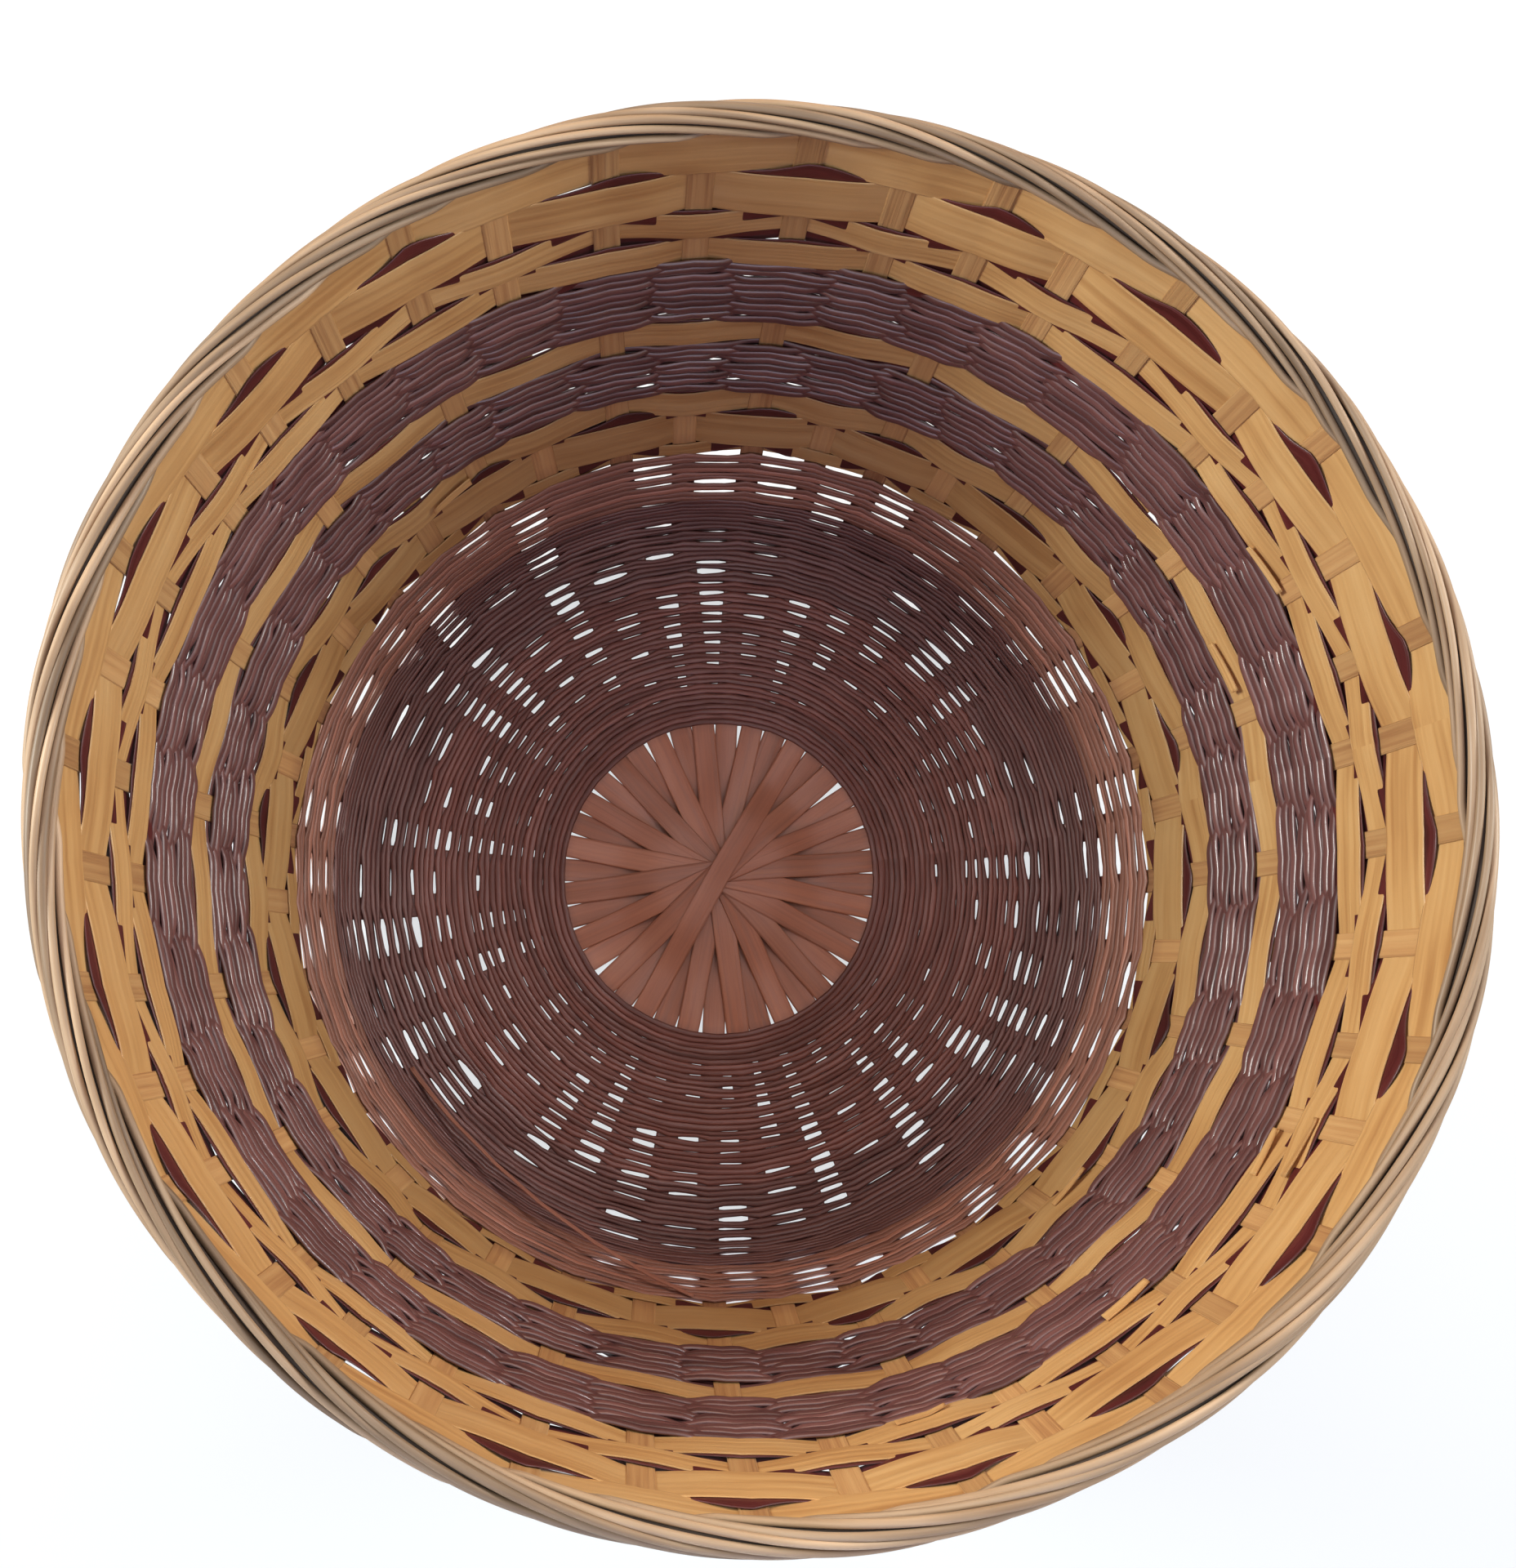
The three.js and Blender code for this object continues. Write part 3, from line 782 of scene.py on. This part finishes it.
# Backed strips: name, nodes of the honey and of the maroon strip, rows, side, dip, and rise of the maroon
# strip. Behind the narrow strips, which have no maroon node, the maroon strip is painted shade in the gaps
BACKED_STRIPS = (
    ("lower_wide", ["lower_wide_strip"], ["lower_maroon_strip"], (29.6, 42.5), 1, 0.2, 3.2),
    ("lower_narrow", ["lower_narrow_strip"], [], (43.6, 53.0), -1, 1.6, 0.9),
    ("middle", ["middle_strip"], [], (72.6, 81.6), -1, 0.6, 0.8),
    ("upper_narrow_1", ["upper_narrow_strip_1"], [], (105.8, 115.0), 1, 0.6, 0.8),
    ("upper_narrow_2", ["upper_narrow_strip_2"], [], (116.4, 125.2), -1, 1.8, 1.0),
    ("upper_wide", ["upper_wide_strip"], ["upper_maroon_strip"], (125.6, 140.4), 1, 0.8, 4.4),
)


def add_strip(name, nodes, low, high, side, reach, depth, tone, finish):
    """Flat strip between a low and a high edge, each a length up the wall all round.

    Side is its side of the even stakes, reach how far it stands off the middle line there, and depth an
    extra distance out. Between the stakes it bows away from that side.
    """
    path = WALL_START + (low + high) / 2
    half = (high - low) / 2
    out = (side * (reach * ZIGZAG - STRIP_BOW * MIDWAY) + depth)[None]
    mesh = ring_mesh(name, path, out, half, STRIP_THICKNESS / 2, STRIP_SECTION, np.array([tone]))
    link_piece(name, mesh, finish, nodes)


def inside_stakes(side):
    """How far a strip with a side of the even stakes lies inside the stakes: 1 there, and 0 outside."""
    return 0.5 - 0.5 * side * ZIGZAG


def strip_edges(rng, rows, side, dip):
    """Uneven edges of a strip by its rows up the wall: it dips where it lies inside the stakes."""
    shift = kinked(rng, STRIP_KINK) + wander(rng, 1, STRIP_SWAY, SLOW) - dip * inside_stakes(side)
    return rows[0] + shift + kinked(rng, EDGE_KINK), rows[1] + shift + kinked(rng, EDGE_KINK)


def backing_edges(rng, low, high, side, rise):
    """Edges of the maroon strip behind a honey strip: a dyed strip behind the wide ones, and painted shade
    for the gaps behind the narrow ones.

    It rises over the honey strip's upper edge where that lies inside the stakes, more on one flank than on
    the other, and drops below its lower edge where that lies outside.
    """
    outside = 1 - inside_stakes(side)
    rise = (rise + kinked(rng, LENS_SPREAD * rise)) * (1 + LENS_SKEW * np.sin(SPLINTS * ANGLES))
    drop = BACKING_DROP * np.clip(DROP_WIDENING * outside, 0, 1)
    return low - drop, high + rise * np.clip(1 - LENS_TAPER * outside, 0, 1)


def add_strips():
    """Honey strips by their rows up the wall, most of them backed by a maroon strip: dyed behind the wide
    strips, and a dark strip that paints the shade in the gaps behind the narrow ones.
    """
    rng = np.random.default_rng(SEED + 5)
    for name, node, rows, side, dip in SINGLE_STRIPS:
        low, high = strip_edges(rng, rows, side, dip)
        # Strips lower on the wall get a darker tone and higher ones a paler tone: darker towards the foot,
        # partly painted shade of the deep wall
        tone = rows[0] / WALL_LENGTH
        add_strip(name, [node], low, high, side, SINGLE_REACH, 0.0, tone, HONEY)
    half = STRIP_THICKNESS / 2
    for name, honey, maroon, rows, side, dip, rise in BACKED_STRIPS:
        low, high = strip_edges(rng, rows, side, dip)
        # Darker towards the foot by tone, partly painted shade of the deep wall
        tone = rows[0] / WALL_LENGTH
        add_strip(name + "_honey", honey, low, high, side, PAIR_REACH, -half, tone, HONEY)
        # Behind the narrow strips this maroon strip is painted shade in the gaps; behind the wide ones it is
        # a dyed strip
        low, high = backing_edges(rng, low, high, side, rise)
        add_strip(name + "_maroon", maroon, low, high, side, PAIR_REACH, half, tone, MAROON)


# Rolled border
BORDER_MIDDLE = WALL_START + 156.1
BORDER_HALF_WIDTH = 4.2
BORDER_HALF_HEIGHT = 5.8
BORDER_OVERHANG = 1.1
BORDER_CANES = 50
CANE_HALF_WIDTH = 0.93
CANE_HALF_THICK = 0.9
LEAST_CANE = 0.8
MOST_CANE = 1.15
CANE_STATIONS = 110
CANE_SPAN = math.radians(50)
CANE_ROLL = math.radians(118)
CANE_STRAY = math.radians(0.7)
ROLL_STRAY = math.radians(3)
ROLL_WAVE = 5
SINK_WAVE = 6
SINK_STRAY = 0.25
END_SHARE = 0.12
END_TUCK = 2.2
CORE_SINK = 1.9
CORE_SIDES = 16
CORE_TONE = 0.2


def border_point(angle, roll, sink):
    """Points on the border's oval in metres: roll 0 is its top and grows outwards, and sink is a depth."""
    radius, height, _ = side_line(BORDER_MIDDLE)
    turned = drifted(BORDER_MIDDLE, angle)
    radius = radius + BORDER_OVERHANG + (BORDER_HALF_WIDTH - sink) * np.sin(roll)
    radius = radius * oval(BORDER_MIDDLE, angle)
    height = height + (BORDER_HALF_HEIGHT - sink) * np.cos(roll)
    parts = np.broadcast_arrays(radius * np.cos(turned), radius * np.sin(turned), height)
    return np.stack(parts, -1) * MM


def add_border_canes():
    """Canes side by side that roll over the rim, from its inner to its outer edge, as they run round it.

    The roll grows evenly along each cane, with a slow wave, and both ends are tucked in.
    """
    rng = np.random.default_rng(SEED + 6)
    share = np.linspace(0, 1, CANE_STATIONS)
    start = np.arange(BORDER_CANES)[:, None] * 2 * math.pi / BORDER_CANES
    angle = start + rng.normal(0, CANE_STRAY, (BORDER_CANES, 1)) + CANE_SPAN * share
    phase = rng.uniform(0, 2 * math.pi, (2, BORDER_CANES, 1))
    roll = CANE_ROLL * (2 * share - 1) + rng.normal(0, ROLL_STRAY, (BORDER_CANES, 1))
    roll = roll + ROLL_STRAY * np.sin(ROLL_WAVE * share + phase[0])
    shown = ease(share, 0, END_SHARE) * (1 - ease(share, 1 - END_SHARE, 1))
    sink = CANE_HALF_THICK + END_TUCK * (1 - shown)
    sink = sink + SINK_STRAY * (1 + np.sin(SINK_WAVE * share + phase[1]))
    line = border_point(angle, roll, sink)
    lifted = border_point(angle, roll, sink - 1)
    across, through = CANE_SECTION
    width = CANE_HALF_WIDTH * rng.uniform(LEAST_CANE, MOST_CANE, (BORDER_CANES, 1, 1))
    points = swept(line, lifted, width * across, CANE_HALF_THICK * through[None, None])[:, :, ::-1]
    tone = rng.uniform(0, 1, BORDER_CANES)
    mesh = strand_mesh("border_canes", points, line_length(line), tone, False)
    link_piece("border_canes", mesh, BORDER_CANE, ["rolled_border"])


def add_border_core():
    """Dark oval ring under the canes, which shows between them: its dark colour paints the shade in the
    gaps.
    """
    rolls = -np.arange(CORE_SIDES) * 2 * math.pi / CORE_SIDES
    points = border_point(ANGLES[:, None], rolls, CORE_SINK)[None]
    radius = math.hypot(*points[0, 0, 0, :2]) / MM
    along = (radius * np.append(ANGLES, 2 * math.pi))[None]
    mesh = strand_mesh("border_core", points, along, np.array([CORE_TONE]), True)
    link_piece("border_core", mesh, BORDER_CORE_SHADE, [])


# Strip that has come loose across the corner
LOOSE_WIDTH = 1.5
LOOSE_STATIONS = 60
LOOSE_FROM = math.radians(206)
LOOSE_SPAN = math.radians(52)
LOOSE_START = 98.0
LOOSE_END = WALL_START + 25
LOOSE_DEPTH = 1.3
LOOSE_PULL = 0.5
LOOSE_TONE = 0.8

# Tails of the narrow honey strips: six by chance, then two at set places
STRAY_TAILS = 6
STRAY_ROWS = (46.0, 77.0, 108.0, 122.0)
SET_TAIL_ANGLES = (299, 318)
SET_TAIL_ROWS = (105.0, 110.0)
SET_TAIL_HALVES = (1.9, 1.4)
TAILS = STRAY_TAILS + len(SET_TAIL_ANGLES)
TAIL_STATIONS = 16
TAIL_DEPTH = 1.4
TAIL_CLIMB = 1.5
TAIL_TAPER = 0.3

# Least and most of what varies by chance: degrees round the wall, bend, half width and tone
TAIL_DEGREES = (4.5, 6.0)
TAIL_BENDS = (0.2, 0.8)
STRAY_HALVES = (0.8, 1.4)
TAIL_TONES = (0.8, 1.0)


def add_loose_strip():
    """Thin brown strip from the corner to the top of the foot, midway from the side to a straight line."""
    share = np.linspace(0, 1, LOOSE_STATIONS)
    angle = LOOSE_FROM + LOOSE_SPAN * share
    path = LOOSE_START + (LOOSE_END - LOOSE_START) * share
    on_side = place(path, angle, np.full(LOOSE_STATIONS, -LOOSE_DEPTH))
    straight = on_side[0] + (on_side[-1] - on_side[0]) * share[:, None]
    line = ((1 - LOOSE_PULL) * on_side + LOOSE_PULL * straight)[None]
    lifted = line + (place(path, angle, np.full(LOOSE_STATIONS, -LOOSE_DEPTH - 1)) - on_side)[None]
    across, through = SPLINT_SECTION
    width = LOOSE_WIDTH / 2 * across[None, None]
    depth = STRIP_THICKNESS / 2 * through[None, None]
    points = swept(line, lifted, width, depth)[:, :, ::-1]
    mesh = strand_mesh("loose_strip", points, line_length(line), np.array([LOOSE_TONE]), False)
    link_piece("loose_strip", mesh, FOOT_REED, [])


def add_strip_ends():
    """Pale tails that stick out from the wall where a strip ends.

    Each runs a few degrees round the wall, climbs or falls a little, bends away from the wall by the square
    of its length and narrows by the cube.
    """
    rng = np.random.default_rng(SEED + 8)
    share = np.linspace(0, 1, TAIL_STATIONS)
    start = np.radians(np.append(rng.uniform(0, 360, STRAY_TAILS), SET_TAIL_ANGLES))[:, None]
    length = np.radians(rng.uniform(*TAIL_DEGREES, (TAILS, 1)))
    angle = start + length * share
    row = np.append(rng.choice(STRAY_ROWS, STRAY_TAILS), SET_TAIL_ROWS)[:, None]
    path = WALL_START + row + rng.uniform(-TAIL_CLIMB, TAIL_CLIMB, (TAILS, 1)) * share
    out = -TAIL_DEPTH - rng.uniform(*TAIL_BENDS, (TAILS, 1)) * share ** 2
    half = np.append(rng.uniform(*STRAY_HALVES, STRAY_TAILS), SET_TAIL_HALVES)[:, None]
    half = half * (1 - TAIL_TAPER * share ** 3)
    across, through = SPLINT_SECTION
    path_at = path[..., None] + half[..., None] * across
    out_at = out[..., None] + STRIP_THICKNESS / 2 * through
    points = place(path_at, np.broadcast_to(angle[..., None], path_at.shape), out_at)
    along = line_length(points.mean(2))
    mesh = strand_mesh("strip_ends", points, along, rng.uniform(*TAIL_TONES, TAILS), False)
    link_piece("strip_ends", mesh, HONEY, [])


# Camera, lamps and floor, with places in the photograph's axes: x to its right, y up, z towards the viewer
PHOTO_ANGLE = math.radians(-6.6)
PHOTO_TURN = Matrix.Rotation(PHOTO_ANGLE, 3, "Z")
CAMERA_AT = Vector((-44.6, -60.4, 572.2))
CAMERA_AIM = Vector((0.0965, 0.1514, -1.0))
CAMERA_LENS = 48.42
CAMERA_SENSOR = 36
CAMERA_NEAR = 10.0
LAMPS_AIM = Vector((0, 0, 90))
FLOOR_REACH = 6000.0
FLOOR_COLOUR = (0.28, 0.28, 0.285, 1)
FLOOR_ROUGHNESS = 0.9
FLOOR_GLOW_COLOUR = (0.96, 0.985, 1.0, 1)
FLOOR_GLOW = 0.72
STUDIO_COLOUR = (0.95, 0.98, 1.0, 1)
STUDIO_LIGHT = 0.06
STUDIO_SHOWN = 0.95


def add_camera():
    """Camera over the mouth, tilted as in the photograph."""
    camera = bpy.data.objects.new("camera", bpy.data.cameras.new("camera"))
    bpy.context.scene.collection.objects.link(camera)
    camera.data.lens = CAMERA_LENS
    camera.data.sensor_width = CAMERA_SENSOR
    camera.data.clip_start = CAMERA_NEAR * MM
    forward = (PHOTO_TURN @ CAMERA_AIM).normalized()
    right = forward.cross(PHOTO_TURN @ Vector((0, 1, 0))).normalized()
    axes = Matrix((right, right.cross(forward), -forward)).transposed()
    camera.matrix_world = Matrix.Translation(PHOTO_TURN @ CAMERA_AT * MM) @ axes.to_4x4()
    bpy.context.scene.camera = camera


def add_lamp(name, azimuth, elevation, distance, size, power, colour, spread=math.pi):
    """Soft lamp that faces the middle of the basket, by its direction in the photograph's axes.

    Its azimuth and elevation are degrees, its power is watts, and its light fans out over the spread, in
    radians.
    """
    lamp = bpy.data.lights.new(name, "AREA")
    lamp.shape = "RECTANGLE"
    lamp.size = size[0] * MM
    lamp.size_y = size[1] * MM
    lamp.energy = power
    lamp.color = colour
    lamp.spread = spread
    stand = bpy.data.objects.new(name, lamp)
    bpy.context.scene.collection.objects.link(stand)
    turn = math.radians(azimuth)
    rise = math.radians(elevation)
    towards = Vector((math.cos(turn) * math.cos(rise), math.sin(turn) * math.cos(rise), math.sin(rise)))
    towards = PHOTO_TURN @ towards
    stand.location = (LAMPS_AIM + towards * distance) * MM
    stand.rotation_mode = "QUATERNION"
    stand.rotation_quaternion = towards.to_track_quat("Z", "Y")
    stand.visible_camera = False


def shown_ray(tree):
    """1 for rays that come straight from the camera or by a gloss or a clear surface, as a socket."""
    path = tree.nodes.new("ShaderNodeLightPath")
    seen = math_node(tree, "ADD", path.outputs["Is Camera Ray"], path.outputs["Is Glossy Ray"])
    seen = math_node(tree, "ADD", seen, path.outputs["Is Transmission Ray"])
    return math_node(tree, "MINIMUM", seen, 1.0)


def add_floor():
    """Wide pale floor: a matt part that takes the shadow, and a glow that only the view and glosses see."""
    mesh = bpy.data.meshes.new("floor")
    reach = FLOOR_REACH * MM
    corners = [(-reach, -reach, 0), (reach, -reach, 0), (reach, reach, 0), (-reach, reach, 0)]
    mesh.from_pydata(corners, [], [(0, 1, 2, 3)])
    floor = bpy.data.objects.new("floor", mesh)
    bpy.context.scene.collection.objects.link(floor)
    material = bpy.data.materials.new("floor")
    material.use_nodes = True
    tree = material.node_tree
    shader = tree.nodes["Principled BSDF"]
    shader.inputs["Base Color"].default_value = FLOOR_COLOUR
    shader.inputs["Roughness"].default_value = FLOOR_ROUGHNESS
    shader.inputs["Specular IOR Level"].default_value = 0.0
    shader.inputs["Emission Color"].default_value = FLOOR_GLOW_COLOUR
    glow = math_node(tree, "MULTIPLY", shown_ray(tree), FLOOR_GLOW)
    tree.links.new(glow, shader.inputs["Emission Strength"])
    mesh.materials.append(material)


def add_world():
    """Faint even light from all round, which the view and glosses see as nearly white."""
    world = bpy.data.worlds.new("studio")
    bpy.context.scene.world = world
    world.use_nodes = True
    tree = world.node_tree
    background = tree.nodes["Background"]
    background.inputs["Color"].default_value = STUDIO_COLOUR
    strength = span(tree, shown_ray(tree), 0.0, 1.0, STUDIO_LIGHT, STUDIO_SHOWN)
    tree.links.new(strength, background.inputs["Strength"])


def add_studio():
    """Soft lamps, the floor and the even light.

    The strongest lamps stand left and right. A warm one stands past the photograph's upper edge, and a cool
    one past its lower edge, over a low one that lights the outside. A small one at the upper right makes
    glints, and a wide one hangs over the mouth.
    """
    add_lamp("key_lamp", 90, 31, 900, (700, 400), 2.2, (1.0, 0.54, 0.26))
    add_lamp("left_lamp", 170, 31, 850, (300, 300), 8.2, (0.95, 1.0, 0.96))
    add_lamp("right_lamp", 12, 31, 850, (300, 300), 4.8, (0.95, 1.0, 0.96))
    add_lamp("window_lamp", 45, 40, 800, (70, 110), 1.4, (0.95, 0.97, 1.0))
    add_lamp("fill_lamp", 270, 40, 900, (700, 400), 2.3, (0.52, 0.6, 1.0))
    add_lamp("front_lamp", 270, 2, 900, (1100, 140), 0.95, (1.0, 0.96, 0.92), spread=math.pi / 2)
    add_lamp("top_lamp", 60, 78, 1200, (900, 900), 2.9, (0.9, 0.93, 1.0))
    add_floor()
    add_world()
    bpy.context.scene.view_settings.view_transform = "Standard"


add_camera()
add_studio()
add_splints()
add_base_reeds()
add_corner_reeds()
add_foot_rows()
add_dark_bands()
add_strips()
add_border_canes()
add_border_core()
add_loose_strip()
add_strip_ends()
